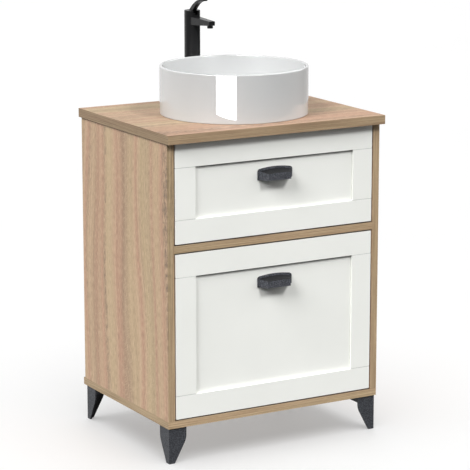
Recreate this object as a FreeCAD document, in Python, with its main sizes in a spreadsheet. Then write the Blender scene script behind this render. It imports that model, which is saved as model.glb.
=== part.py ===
"""Vessel basin on a two-drawer vanity, modelled as the pieces it is assembled from.

Frame: millimetres, origin on the floor under the centre of the whole unit, +Z up,
the drawer fronts face -Y and +X is to the right of somebody standing in front of it.
"""
import FreeCAD
import Part
import math
import os
import re

import Sketcher

from FreeCAD import Placement, Rotation, Vector

os.makedirs("parts", exist_ok=True)
doc = FreeCAD.newDocument("vanity")

# ----------------------------------------------------------------------------------
# Driving dimensions. Every length below is written in terms of these names.
# ----------------------------------------------------------------------------------
SIZES = {
    # worktop
    "top_width": 600, "top_depth": 470, "top_thick": 22, "top_level": 800,
    # carcass: 18 mm boards, fronts set back under the worktop
    "case_width": 590, "board": 18, "leg_height": 88,
    "case_front": 218, "side_back": 229, "base_back": 237,
    "divider_low": 515, "rail_deep": 80, "stretcher_front": 190,
    "rear_top_tall": 100, "rear_low_tall": 80, "wall_hole_radius": 4,
    "wall_hole_x": 200, "wall_hole_level": 740,
    # framed drawer fronts
    "front_gap": 3, "top_gap": 3, "front_thick": 20, "rail_wide": 56.5,
    "stile_wide": 55, "recess": 6, "infill": 10, "tongue": 8,
    # drawer boxes
    "slide_gap": 12.7, "wall": 12, "box_back": 195,
    "upper_low": 550, "upper_high": 690, "lower_low": 122, "lower_high": 372,
    "notch_half": 90, "notch_front": 92,
    # telescopic runners
    "runner_long": 350, "runner_front": 196, "sheet": 1.2, "outer_half": 22.5,
    "middle_half": 18, "inner_half": 14, "web_gap": 3, "runner_play": 0.8,
    "flange_reach": 9,
    "upper_runner_level": 600, "lower_runner_level": 230,
    # cup handles: an arched back plate, and a hood that narrows to a flat face
    "handle_wide": 95, "handle_tall": 30, "handle_deep": 25, "handle_drop": 20,
    "plate_side": 25.5, "plate_thick": 3, "plate_round": 7, "plate_margin": 5,
    "face_wide": 64, "face_side": 16.8, "face_tall": 18.5, "handle_wall": 3.6,
    "hood_round": 1.5, "handle_pitch": 64, "boss_rise": 13, "boss_radius": 4.5,
    "boss_deep": 10, "handle_screw_radius": 2, "screw_play": 0.25,
    # corner legs
    "leg_wide": 47, "leg_block": 15, "leg_flange": 5, "leg_foot": 17, "leg_inset": 3,
    "leg_bend_level": 58, "leg_bend_radius": 45, "screw_near": 15, "screw_far": 37,
    # basin
    "basin_y": -17, "basin_radius": 182.5, "basin_tall": 118.5, "basin_wall": 7.5,
    "bowl_floor": 21, "bowl_floor_radius": 78, "bowl_corner": 42, "foot_inner": 150,
    "foot_recess": 6, "boss_outer": 44, "drain_radius": 22, "drain_seat_radius": 33.2,
    "drain_seat_level": 15.5, "drain_chamfer": 3, "bowl_fall": 3, "bowl_draft": 4,
    "rim_round": 3, "foot_round": 2, "seal_outer": 176, "seal_inner": 164, "seal_tall": 2,
    # waste
    "tail_outer": 20.5, "tail_inner": 17, "tail_low": 727, "waste_hole": 23,
    "flange_thick": 3, "flange_play": 0.2, "flange_bevel": 1.5, "flange_edge": 2,
    "flange_inner": 26, "tail_sunk": 1.2, "plug_radius": 30, "plug_thick": 4,
    "plug_foot": 18, "plug_dome": 0.6, "plug_rest": 0.3, "stem_radius": 4, "stem_long": 44,
    "stem_play": 0.05, "guide_wide": 12, "guide_tall": 12, "guide_drop": 40,
    "gasket_radius": 32, "gasket_thick": 4, "nut_thick": 10, "nut_flats": 60,
    # bottle trap
    "trap_radius": 30, "trap_top": 722, "trap_joint": 628, "trap_low": 575,
    "trap_shell": 3.5, "outlet_level": 650, "outlet_radius": 16, "outlet_bore": 14.2,
    "outlet_free": 80, "outlet_y": 39, "outlet_socket": 26, "outlet_stub": 20,
    "collar_thick": 4, "collar_rise": 2, "dip_radius": 14, "dip_level": 600,
    "neck_outer": 23.5, "neck_inner": 20.7, "neck_high": 730, "shoulder_low": 704,
    "shoulder_high": 712, "crown_low": 702, "crown_high": 708,
    "cup_radius": 28, "cup_foot": 20, "cup_slope": 10, "cup_wall": 3, "cup_floor": 3,
    "ring_outer": 33, "ring_tall": 14, "coupling_flats": 54, "outlet_flats": 48,
    "coupling_tall": 14,
    # mixer tap
    "tap_y": 193, "tap_radius": 20, "tap_tall": 231, "cap_tall": 15, "tap_gap": 0.3,
    "tap_hole": 17.5, "bore_radius": 16.5, "cartridge_low": 168, "cap_wall": 3,
    "slot_wide": 14, "slot_back": 13, "pivot_rise": 12, "trunnion": 2, "hub_radius": 7,
    "lever_wide": 12, "lever_reach": 68, "stud_radius": 4, "stud_offset": 9,
    "inlet_radius": 5, "inlet_x": 7.5, "inlet_y": 6, "inlet_deep": 15,
    "spout_root_wide": 26, "spout_tip_wide": 17, "spout_reach": 102,
    "spout_root_low": 194, "spout_root_high": 215.5, "spout_tip_low": 201.5,
    "spout_tip_high": 212.4, "waterway": 4, "spout_bore_level": 207,
    "spout_side_round": 1.8, "spout_nose_round": 1.2, "spout_sunk": 8,
    "aerator_reach": 91.5, "aerator_radius": 7.25, "aerator_low": 194.4,
    "aerator_ledge": 199.85, "aerator_neck": 6.15, "aerator_tall": 9, "aerator_lip": 4.85,
    "aerator_way": 2, "aerator_seat": 6.25, "aerator_seat_low": 195,
    "cartridge_radius": 15.5, "cartridge_tall": 30, "retainer_radius": 16.4,
    "retainer_tall": 4, "cartridge_stem": 6, "stem_tall": 38.5, "skirt_inner": 13.5,
    "skirt_deep": 5, "cap_floor": 1, "cap_round": 1.2, "slot_sill": 4, "axle_inset": 1.2,
    "axle_play": 0.2, "trunnion_play": 0.05, "stud_in": 12, "stud_out": 26,
    "yoke_radius": 24, "yoke_thick": 3, "stud_nut_flats": 13, "stud_nut_tall": 7,
    # joinery and fixings
    "dowel_radius": 4, "dowel_long": 30, "dowel_sunk": 12, "dowel_margin": 20,
    "dowel_base_y": 150, "dowel_base_sunk": 10, "screw_radius": 2, "screw_long": 16,
    "head_radius": 4, "head_tall": 2.2, "leg_screw_sunk": 4, "bracket_leg": 22,
    "bracket_wide": 30, "bracket_thick": 2, "bracket_screw": 14,
}

sheet = doc.addObject("Spreadsheet::Sheet", "Sizes")
for row, (alias, size) in enumerate(SIZES.items(), start=1):
    sheet.set(f"A{row}", alias)
    sheet.set(f"B{row}", str(size))
    sheet.setAlias(f"B{row}", alias)
doc.recompute()

SKETCH_START = 40   # mm, where the corners of a sketch start before it is solved
NODES = {}          # node name -> the document object that is exported


def bound(text):
    """Turn a formula of size names into one that the spreadsheet answers."""
    return re.sub(r"[a-z]+(?:_[a-z]+)*", lambda m: f"Sizes.{m[0]}" if m[0] in SIZES else m[0],
                  str(text))


def drive(obj, **formulas):
    """Bind properties of an object to formulas; a dot is written as two underscores."""
    for name, formula in formulas.items():
        obj.setExpression(name.replace("__", "."), bound(formula))
    return obj


def move(obj, x=0, y=0, z=0):
    """Bind where an object sits."""
    return drive(obj, Placement__Base__x=x, Placement__Base__y=y, Placement__Base__z=z)


def node(label, obj):
    """Name an object as one sub-part."""
    obj.Label = label
    NODES[label] = obj
    return obj


# ----------------------------------------------------------------------------------
# Building blocks
# ----------------------------------------------------------------------------------
def box(x, y, z):
    """A board or block between two corners; x, y and z are (low, high) formulas."""
    obj = doc.addObject("Part::Box", "Block")
    spans = [f"({high}) - ({low})" for low, high in (x, y, z)]
    drive(obj, Length=spans[0], Width=spans[1], Height=spans[2])
    return move(obj, x[0], y[0], z[0])


TURNS = {
    "+x": Rotation(Vector(0, 1, 0), 90), "-x": Rotation(Vector(0, 1, 0), -90),
    "+y": Rotation(Vector(1, 0, 0), -90), "-y": Rotation(Vector(1, 0, 0), 90),
    "+z": Rotation(), "-z": Rotation(Vector(1, 0, 0), 180),
}


def rod(radius, length, at, along="+z"):
    """A cylinder that starts at a point and runs along an axis."""
    obj = doc.addObject("Part::Cylinder", "Rod")
    drive(obj, Radius=radius, Height=length)
    obj.Placement = Placement(Vector(), TURNS[along])
    return move(obj, *at)


def prism(flats, length, at, along="+z"):
    """A hexagonal bar, given across its flats."""
    obj = doc.addObject("Part::Prism", "Hexagon")
    drive(obj, Circumradius=f"({flats}) / sqrt(3)", Height=length)
    obj.Placement = Placement(Vector(), TURNS[along])
    return move(obj, *at)


def together(*shapes):
    """Separate solids kept side by side."""
    obj = doc.addObject("Part::Compound", "Group")
    obj.Links = list(shapes)
    return obj


def fuse(*shapes):
    obj = doc.addObject("Part::MultiFuse", "Union")
    obj.Shapes = list(shapes)
    obj.Refine = True
    return obj


def cut(base, *tools):
    obj = doc.addObject("Part::Cut", "Difference")
    obj.Base = base
    obj.Tool = tools[0] if len(tools) == 1 else together(*tools)
    return obj


def body():
    return doc.addObject("PartDesign::Body", "Body")


def plane(owner, role):
    return next(item for item in owner.Origin.OriginFeatures if item.Role == role)


def outline(owner, role, points, offset=0, name="Outline", bows=None):
    """A closed sketch whose corners, anticlockwise, are (formula, formula) pairs.

    Sketch axes: XY_Plane gives (x, y), XZ_Plane gives (x, z) and YZ_Plane gives (y, z).
    The sketch lies `offset` along the plane's normal. `bows` gives the radius of the
    sides that bulge outwards, by the number of the corner that they start from. The
    corners start on a ring of about a handle's size, so that a shallow side bulges the
    right way once it is solved.
    """
    bows = bows or {}
    sketch = owner.newObject("Sketcher::SketchObject", name)
    sketch.AttachmentSupport = [(plane(owner, role), "")]
    sketch.MapMode = "FlatFace"
    drive(sketch, AttachmentOffset__Base__z=offset)
    count = len(points)
    turns = [2 * math.pi * i / count for i in range(count)]
    ring = [Vector(math.cos(turn), math.sin(turn), 0) * SKETCH_START for turn in turns]
    for i in range(count):
        start, end = ring[i], ring[(i + 1) % count]
        if i in bows:
            sketch.addGeometry(Part.Arc(start, (start + end) * 0.56, end))
        else:
            sketch.addGeometry(Part.LineSegment(start, end))
    for i in range(count):
        sketch.addConstraint(Sketcher.Constraint("Coincident", i, 2, (i + 1) % count, 1))
    for i, corner in enumerate(points):
        for kind, formula, start in zip(("DistanceX", "DistanceY"), corner, ring[i]):
            number = sketch.addConstraint(Sketcher.Constraint(kind, -1, 1, i, 1, start))
            sketch.setExpression(f"Constraints[{number}]", bound(formula))
    for i, radius in bows.items():
        number = sketch.addConstraint(Sketcher.Constraint("Radius", i, 1))
        sketch.setExpression(f"Constraints[{number}]", bound(radius))
    return sketch


def pad(owner, sketch, length, midplane=False, reverse=False):
    feature = owner.newObject("PartDesign::Pad", "Pad")
    feature.Profile = sketch
    feature.Midplane = midplane
    feature.Reversed = reverse
    return drive(feature, Length=length)


def spin(owner, points, name="Profile"):
    """A solid of revolution about Z from (radius, height) corners."""
    sketch = outline(owner, "XZ_Plane", points, name=name)
    feature = owner.newObject("PartDesign::Revolution", "Turned")
    feature.Profile = sketch
    feature.ReferenceAxis = (sketch, ["V_Axis"])
    feature.Angle = 360
    return feature


def soften(owner, radius, wanted, kind="Fillet"):
    """Round or chamfer the edges of a body that `wanted` picks."""
    doc.recompute()
    tip = owner.Tip
    names = [f"Edge{i}" for i, edge in enumerate(tip.Shape.Edges, start=1) if wanted(edge)]
    if not names:
        raise ValueError(f"no edge to soften on {owner.Label}")
    feature = owner.newObject(f"PartDesign::{kind}", kind)
    feature.Base = (tip, names)
    return drive(feature, **{"Radius" if kind == "Fillet" else "Size": radius})


def ring_at(radius, height, slack=0.05):
    """Pick circular edges about Z by radius and height."""
    def wanted(edge):
        curve = edge.Curve
        if not isinstance(curve, Part.Circle):
            return False
        return abs(curve.Radius - radius) < slack and abs(curve.Center.z - height) < slack
    return wanted


# ----------------------------------------------------------------------------------
# Levels and faces used by more than one piece
# ----------------------------------------------------------------------------------
TOP_UNDER = "(top_level - top_thick)"
CASE_HALF = "(case_width / 2)"
INNER = "(case_width / 2 - board)"          # inner face of a side panel
BASE_TOP = "(leg_height + board)"
BOX_OUTER = "(case_width / 2 - board - slide_gap)"
BOX_INNER = "(case_width / 2 - board - slide_gap - wall)"
FRONT_BACK = "(front_thick - case_front)"   # back face of the drawer fronts
LEFT, RIGHT = -1, 1
FRONT, REAR = -1, 1


def mirrored(side, low, high):
    """An x (or y) span measured outwards from the middle, on either side of it."""
    return (low, high) if side > 0 else (f"-({high})", f"-({low})")


# ----------------------------------------------------------------------------------
# Joinery: one set of dowels and screws, and the holes they need
# ----------------------------------------------------------------------------------
BRACKET_Y = (-70, 150)
RUNNER_SCREW_Y = (-160, -20, 120)


def dowel_places():
    """Start point and direction of each dowel: rail ends first, then the base board."""
    rails = [("-case_front", "divider_low + board / 2"),
             ("-stretcher_front", f"{TOP_UNDER} - board / 2")]
    rear_levels = (f"{TOP_UNDER} - dowel_margin", f"{TOP_UNDER} - rear_top_tall + dowel_margin",
                   f"{BASE_TOP} + dowel_margin", f"{BASE_TOP} + rear_low_tall - dowel_margin")
    places = []
    for side in (LEFT, RIGHT):
        along = "-x" if side > 0 else "+x"
        start = f"{side} * ({INNER} + dowel_sunk)"
        for front, level in rails:
            places.append(((start, f"{front} + dowel_margin", level), along))
            places.append(((start, f"{front} + rail_deep - dowel_margin", level), along))
        for level in rear_levels:
            places.append(((start, "side_back - board / 2", level), along))
        for y in ("-dowel_base_y", "dowel_base_y"):
            places.append(((f"{side} * ({CASE_HALF} - board / 2)", y,
                            f"{BASE_TOP} - dowel_base_sunk"), "+z"))
    return places


def leg_corner(sx, sy):
    """Outer corner of a leg, in from the corner of the base board."""
    y = "-case_front + leg_inset" if sy < 0 else "side_back - leg_inset"
    return f"{sx} * ({CASE_HALF} - leg_inset)", y


def screw_places():
    """Seat point and direction of each pan-head screw."""
    places = []
    for side in (LEFT, RIGHT):
        outwards = "+x" if side > 0 else "-x"
        for y in BRACKET_Y:
            places.append(((f"{side} * ({INNER} - bracket_thick)", y,
                            f"{TOP_UNDER} - bracket_screw"), outwards))
            places.append(((f"{side} * ({INNER} - bracket_screw)", y,
                            f"{TOP_UNDER} - bracket_thick"), "+z"))
        for level in ("upper_runner_level", "lower_runner_level"):
            for y in RUNNER_SCREW_Y:
                places.append(((f"{side} * ({INNER} - sheet)", y, level), outwards))
        for sy in (FRONT, REAR):
            x, y = leg_corner(side, sy)
            for u in ("screw_near", "screw_far"):
                for v in ("screw_near", "screw_far"):
                    seat = (f"{x} - {side} * {u}", f"{y} - ({sy}) * {v}",
                            "leg_height - leg_screw_sunk")
                    places.append((seat, "+z"))
    return places


OPPOSITE = {"+x": "-x", "-x": "+x", "+z": "-z"}
dowels = [rod("dowel_radius", "dowel_long", at, along) for at, along in dowel_places()]
shanks = [rod("screw_radius", "screw_long", at, along) for at, along in screw_places()]
heads = [rod("head_radius", "head_tall", at, OPPOSITE[along]) for at, along in screw_places()]
DRILLED = together(*dowels, *shanks)
node("carcass_dowels", together(*dowels))
node("cabinet_screws", together(*[fuse(shank, head) for shank, head in zip(shanks, heads)]))


def drilled(*spans):
    """A board with every dowel and screw hole that falls inside it."""
    return cut(box(*spans), DRILLED)


# ----------------------------------------------------------------------------------
# Carcass
# ----------------------------------------------------------------------------------
def make_carcass():
    worktop = box(("-top_width / 2", "top_width / 2"), ("-top_depth / 2", "top_depth / 2"),
                  (TOP_UNDER, "top_level"))
    waste_hole = rod("waste_hole", "top_thick + 2", (0, "basin_y", f"{TOP_UNDER} - 1"))
    tap_hole = rod("tap_hole", "top_thick + 2", (0, "tap_y", f"{TOP_UNDER} - 1"))
    node("worktop", cut(worktop, DRILLED, waste_hole, tap_hole))

    for side, name in ((LEFT, "side_panel_left"), (RIGHT, "side_panel_right")):
        node(name, drilled(mirrored(side, INNER, CASE_HALF), ("-case_front", "side_back"),
                           (BASE_TOP, TOP_UNDER)))
    node("bottom_panel", drilled((f"-{CASE_HALF}", CASE_HALF), ("-case_front", "base_back"),
                                 ("leg_height", BASE_TOP)))
    across = (f"-{INNER}", INNER)
    node("divider_rail", drilled(across, ("-case_front", "rail_deep - case_front"),
                                 ("divider_low", "divider_low + board")))
    node("front_stretcher", drilled(across, ("-stretcher_front", "rail_deep - stretcher_front"),
                                    (f"{TOP_UNDER} - board", TOP_UNDER)))
    rear = ("side_back - board", "side_back")
    wall_holes = [rod("wall_hole_radius", "board + 2",
                      (f"{side} * wall_hole_x", "side_back - board - 1", "wall_hole_level"), "+y")
                  for side in (LEFT, RIGHT)]
    top_rail = drilled(across, rear, (f"{TOP_UNDER} - rear_top_tall", TOP_UNDER))
    node("rear_top_rail", cut(top_rail, *wall_holes))
    node("rear_bottom_rail", drilled(across, rear, (BASE_TOP, f"{BASE_TOP} + rear_low_tall")))


def make_brackets():
    """Steel angles that hold the worktop down on the side panels."""
    angles = []
    for side in (LEFT, RIGHT):
        for y in BRACKET_Y:
            width = (f"{y} - bracket_wide / 2", f"{y} + bracket_wide / 2")
            on_side = box(mirrored(side, f"{INNER} - bracket_thick", INNER), width,
                          (f"{TOP_UNDER} - bracket_leg", TOP_UNDER))
            under_top = box(mirrored(side, f"{INNER} - bracket_leg", INNER), width,
                            (f"{TOP_UNDER} - bracket_thick", TOP_UNDER))
            angles.append(cut(fuse(on_side, under_top), DRILLED))
    node("worktop_brackets", together(*angles))


def make_leg(name, sx, sy):
    """A corner leg: two tapering flanges under a square block, open on the inside."""
    x, y = leg_corner(sx, sy)

    def flange_corners(sign):
        return [(0, "leg_height"), (f"{sign} * leg_wide", "leg_height"),
                (f"{sign} * leg_wide", "leg_bend_level"), (f"{sign} * leg_foot", 3),
                (f"{sign} * (leg_foot - 2)", 0), (0, 0)]

    leg = body()
    pad(leg, outline(leg, "XZ_Plane", flange_corners(-sx)), "leg_flange", reverse=sy < 0)
    pad(leg, outline(leg, "YZ_Plane", flange_corners(-sy)), "leg_flange", reverse=sx > 0)
    soften(leg, "leg_bend_radius", lambda edge: edge.Length < SIZES["leg_flange"] + 0.1
           and abs(edge.CenterOfMass.z - SIZES["leg_bend_level"]) < 0.1
           and edge.BoundBox.ZLength < 0.01)
    block = outline(leg, "XY_Plane", [(0, 0), (f"{-sx} * leg_wide", 0),
                                      (f"{-sx} * leg_wide", f"{-sy} * leg_wide"),
                                      (0, f"{-sy} * leg_wide")], "leg_height - leg_block")
    pad(leg, block, "leg_block")
    soften(leg, 1.5, lambda edge: edge.BoundBox.ZLength > SIZES["leg_height"] / 2
           and math.hypot(edge.CenterOfMass.x, edge.CenterOfMass.y) < 0.1)
    move(leg, x, y)
    wells = [rod("head_radius + 0.6", "leg_block",
                 (at[0], at[1], "leg_height - leg_screw_sunk - leg_block"))
             for at, _ in screw_places() if at[0].startswith(f"{x} ") and at[1].startswith(f"{y} ")]
    node(name, cut(leg, DRILLED, *wells))


# ----------------------------------------------------------------------------------
# Drawers
# ----------------------------------------------------------------------------------
FRONT_LEVELS = {
    "upper": ("(divider_low + board + front_gap)", f"({TOP_UNDER} - top_gap)"),
    "lower": (f"({BASE_TOP} + front_gap)", "(divider_low - front_gap)"),
}
FRONT_HALF = f"({INNER} - front_gap)"


def make_front(drawer):
    """Two rails across, two stiles between them and a panel held in their grooves."""
    low, high = FRONT_LEVELS[drawer]
    face = ("-case_front", FRONT_BACK)
    groove = ("recess - case_front", "recess + infill - case_front")
    inside = (f"-({FRONT_HALF} - stile_wide)", f"{FRONT_HALF} - stile_wide")
    window = (f"{low} + rail_wide", f"{high} - rail_wide")
    infill = box((f"{inside[0]} - tongue", f"{inside[1]} + tongue"), groove,
                 (f"{window[0]} - tongue", f"{window[1]} + tongue"))
    for name, level in (("bottom_rail", (low, window[0])), ("top_rail", (window[1], high))):
        rail = box((f"-{FRONT_HALF}", FRONT_HALF), face, level)
        node(f"{drawer}_{name}", cut(rail, infill))
    stiles = [cut(box(mirrored(side, inside[1], FRONT_HALF), face, window), infill)
              for side in (LEFT, RIGHT)]
    node(f"{drawer}_stiles", together(*stiles))
    handle_level = f"{window[1]} - handle_drop - handle_tall + boss_rise"
    holes = [rod("handle_screw_radius + screw_play", "infill + 2",
                 (f"{side} * handle_pitch / 2", "recess - case_front - 1", handle_level), "+y")
             for side in (LEFT, RIGHT)]
    node(f"{drawer}_front_panel", cut(infill, *holes))


def make_box(drawer):
    """Sides, back and bottom of a drawer; the upper one is notched round the trap."""
    low, high = f"{drawer}_low", f"{drawer}_high"
    length = (FRONT_BACK, "box_back")
    for side, name in ((LEFT, "left"), (RIGHT, "right")):
        node(f"{drawer}_side_{name}",
             box(mirrored(side, BOX_INNER, BOX_OUTER), length, (low, high)))
    back = ("box_back - wall", "box_back")
    above = (f"{low} + wall", high)
    if drawer == "lower":
        node("lower_back", box((f"-{BOX_INNER}", BOX_INNER), back, (low, high)))
        node("lower_bottom", box((f"-{BOX_INNER}", BOX_INNER), (FRONT_BACK, back[0]),
                                 (low, f"{low} + wall")))
        return
    wing = ("notch_half + wall", BOX_INNER)
    wings = [box(mirrored(side, *wing), back, above) for side in (LEFT, RIGHT)]
    node("upper_back", together(*wings))
    cheeks = [box(mirrored(side, "notch_half", "notch_half + wall"),
                  ("-notch_front", "box_back"), above) for side in (LEFT, RIGHT)]
    nose = box(("-notch_half - wall", "notch_half + wall"),
               ("-notch_front - wall", "-notch_front"), above)
    node("upper_notch", together(*cheeks, nose))
    bottom = body()
    edge, deep = BOX_INNER, "box_back"
    plan = outline(bottom, "XY_Plane", [
        (f"-{edge}", FRONT_BACK), (edge, FRONT_BACK), (edge, deep), ("notch_half", deep),
        ("notch_half", "-notch_front"), ("-notch_half", "-notch_front"),
        ("-notch_half", deep), (f"-{edge}", deep)], low)
    pad(bottom, plan, "wall")
    node("upper_bottom", bottom)


def channel(side, level, half, web, tip):
    """A C-section runner member; web and tip are distances in from the side panel."""
    length = ("-runner_front", "runner_long - runner_front")
    solid = box(mirrored(side, f"{INNER} - {tip}", f"{INNER} - {web}"), length,
                (f"{level} - {half}", f"{level} + {half}"))
    hollow = box(mirrored(side, f"{INNER} - {tip} - 1", f"{INNER} - ({web} + sheet)"),
                 ("-runner_front - 1", "runner_long - runner_front + 1"),
                 (f"{level} - {half} + sheet", f"{level} + {half} - sheet"))
    return cut(solid, hollow)


def inner_channel(side, level):
    """The drawer's own runner member: a C-section that opens towards the side panel."""
    length = ("-runner_front", "runner_long - runner_front")
    reach = "sheet * 2 + web_gap + runner_play"
    solid = box(mirrored(side, BOX_OUTER, f"{INNER} - ({reach})"), length,
                (f"{level} - inner_half", f"{level} + inner_half"))
    hollow = box(mirrored(side, f"{BOX_OUTER} + sheet", INNER),
                 ("-runner_front - 1", "runner_long - runner_front + 1"),
                 (f"{level} - inner_half + sheet", f"{level} + inner_half - sheet"))
    return cut(solid, hollow)


def make_runners():
    outers = []
    for drawer in ("upper", "lower"):
        level = f"{drawer}_runner_level"
        middles = []
        inners = []
        for side in (LEFT, RIGHT):
            outers.append(cut(channel(side, level, "outer_half", "0", "flange_reach"), DRILLED))
            middles.append(channel(side, level, "middle_half", "(sheet + web_gap)",
                                   "(flange_reach + runner_play * 2)"))
            inners.append(inner_channel(side, level))
        node(f"{drawer}_runner_middle", together(*middles))
        node(f"{drawer}_runner_inner", together(*inners))
    node("runner_outer", together(*outers))


def arched(owner, half, side, crown, offset, foot="0"):
    """An upright outline of a handle: flat foot, straight sides and a bowed top."""
    rise = f"({crown} - ({side}))"
    bow = f"({half} ^ 2 + {rise} ^ 2) / (2 * {rise})"
    return outline(owner, "XZ_Plane", [(f"-{half}", foot), (half, foot), (half, side),
                                       (f"-{half}", side)], offset, bows={2: bow})


def make_handle(drawer):
    """A cup pull: an arched back plate and a hollow hood, open below for the fingers."""
    top = f"({FRONT_LEVELS[drawer][1]} - rail_wide - handle_drop)"
    back = "recess - case_front"
    wall = "handle_wall"

    pull = body()
    plate = arched(pull, "(handle_wide / 2)", "plate_side", "handle_tall", 0)
    pad(pull, plate, "plate_thick")
    soften(pull, "plate_round", lambda edge: edge.BoundBox.XLength < 0.1
           and edge.BoundBox.YLength > SIZES["plate_thick"] - 0.1
           and abs(edge.CenterOfMass.z - SIZES["plate_side"]) < 0.1)
    root = ("(handle_wide / 2 - plate_margin)", "(plate_side - plate_margin)",
            "(handle_tall - plate_margin)")
    face = ("(face_wide / 2)", "face_side", "face_tall")
    hood = pull.newObject("PartDesign::AdditiveLoft", "Hood")
    hood.Profile = arched(pull, *root, "plate_thick - 0.5")
    hood.Sections = [arched(pull, *face, "handle_deep")]
    soften(pull, "hood_round", lambda edge: edge.CenterOfMass.y < 1 - SIZES["handle_deep"]
           and edge.CenterOfMass.z > 1)
    scoop = pull.newObject("PartDesign::SubtractiveLoft", "Scoop")
    scoop.Profile = arched(pull, *[f"({size} - {wall})" for size in root], 0, "-1")
    scoop.Sections = [arched(pull, f"({face[0]} - {wall} / 2)", f"{face[1]} - {wall} / 2",
                             f"({face[2]} - {wall} / 2)", f"handle_deep - {wall}", "-1")]
    move(pull, 0, back, f"{top} - handle_tall")

    level = f"{top} - handle_tall + boss_rise"
    centres = [f"{side} * handle_pitch / 2" for side in (LEFT, RIGHT)]
    bosses = [rod("boss_radius", "boss_deep", (x, back, level), "-y") for x in centres]
    threads = [rod("handle_screw_radius", "infill + boss_deep - 2", (x, f"{back} + infill", level),
                   "-y") for x in centres]
    caps = [rod("head_radius", "head_tall", (x, f"{back} + infill", level), "+y") for x in centres]
    node(f"{drawer}_handle", cut(fuse(pull, *bosses), *threads))
    node(f"{drawer}_handle_screws", together(*map(fuse, threads, caps)))


# ----------------------------------------------------------------------------------
# Basin, waste and trap
# ----------------------------------------------------------------------------------
def make_basin():
    """A round vessel with an upright wall, a rounded bowl and a recessed foot."""
    basin = body()
    bowl = "(basin_radius - basin_wall)"
    spin(basin, [
        ("drain_radius", 0), ("boss_outer", 0), ("boss_outer", "foot_recess"),
        ("foot_inner", "foot_recess"), ("foot_inner", 0), ("seal_inner", 0),
        ("seal_inner", "seal_tall"), ("seal_outer", "seal_tall"), ("seal_outer", 0),
        ("basin_radius", 0), ("basin_radius", "basin_tall"), (bowl, "basin_tall"),
        (f"{bowl} - bowl_draft", "bowl_floor + bowl_fall"), ("bowl_floor_radius", "bowl_floor"),
        ("drain_seat_radius + drain_chamfer", "drain_seat_level + bowl_fall"),
        ("drain_seat_radius", "drain_seat_level + bowl_fall"),
        ("drain_seat_radius", "drain_seat_level"), ("drain_radius", "drain_seat_level")])
    inner = SIZES["basin_radius"] - SIZES["basin_wall"]
    corner = (inner - SIZES["bowl_draft"], SIZES["bowl_floor"] + SIZES["bowl_fall"])
    soften(basin, "bowl_corner", ring_at(*corner))
    soften(basin, "rim_round", ring_at(SIZES["basin_radius"], SIZES["basin_tall"]))
    soften(basin, "rim_round", ring_at(inner, SIZES["basin_tall"]))
    soften(basin, "foot_round", ring_at(SIZES["basin_radius"], 0))
    move(basin, 0, "basin_y", "top_level")
    node("basin", basin)

    seal = cut(rod("seal_outer", "seal_tall", (0, "basin_y", "top_level")),
               rod("seal_inner", "seal_tall + 2", (0, "basin_y", "top_level - 1")))
    node("basin_seal", seal)


def make_waste():
    centre = (0, "basin_y")
    seat = "(top_level + drain_seat_level)"
    flange = body()
    rim = "drain_seat_radius - flange_play"
    spin(flange, [("tail_outer", 0), (rim, 0), (rim, "flange_edge"),
                  (f"{rim} - flange_bevel", "flange_thick"), ("flange_inner", "flange_thick"),
                  ("tail_outer", "flange_edge")])
    move(flange, *centre, seat)
    node("waste_flange", flange)

    tail_long = f"{seat} + flange_thick - tail_sunk - tail_low"
    tail = cut(rod("tail_outer", tail_long, (*centre, "tail_low")),
               rod("tail_inner", f"{tail_long} + 2", (*centre, "tail_low - 1")))
    guide_low = f"{seat} - guide_drop"
    guide = cut(box(("-tail_inner - 1", "tail_inner + 1"),
                    ("basin_y - guide_wide / 2", "basin_y + guide_wide / 2"),
                    (guide_low, f"{guide_low} + guide_tall")),
                rod("stem_radius + stem_play", "guide_tall + 2", (*centre, f"{guide_low} - 1")))
    node("waste_tail", fuse(tail, guide))

    plug = body()
    spin(plug, [(0, 0), ("plug_foot", 0), ("plug_radius", 1),
                ("plug_radius", "plug_thick - 2"), ("plug_radius - 3", "plug_thick - plug_dome"),
                (0, "plug_thick + plug_dome")])
    move(plug, *centre, f"{seat} + flange_thick + plug_rest")
    stem = rod("stem_radius", "stem_long", (*centre, f"{seat} + flange_thick + 1 - stem_long"))
    node("waste_plug", fuse(plug, stem))

    gasket_low = f"({TOP_UNDER} - gasket_thick)"
    node("waste_gasket", cut(
        rod("gasket_radius", "gasket_thick", (*centre, gasket_low)),
        rod("tail_outer", "gasket_thick + 2", (*centre, f"{gasket_low} - 1"))))
    nut_low = f"({gasket_low} - nut_thick)"
    node("waste_nut", cut(prism("nut_flats", "nut_thick", (*centre, nut_low)),
                          rod("tail_outer", "nut_thick + 2", (*centre, f"{nut_low} - 1"))))


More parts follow.
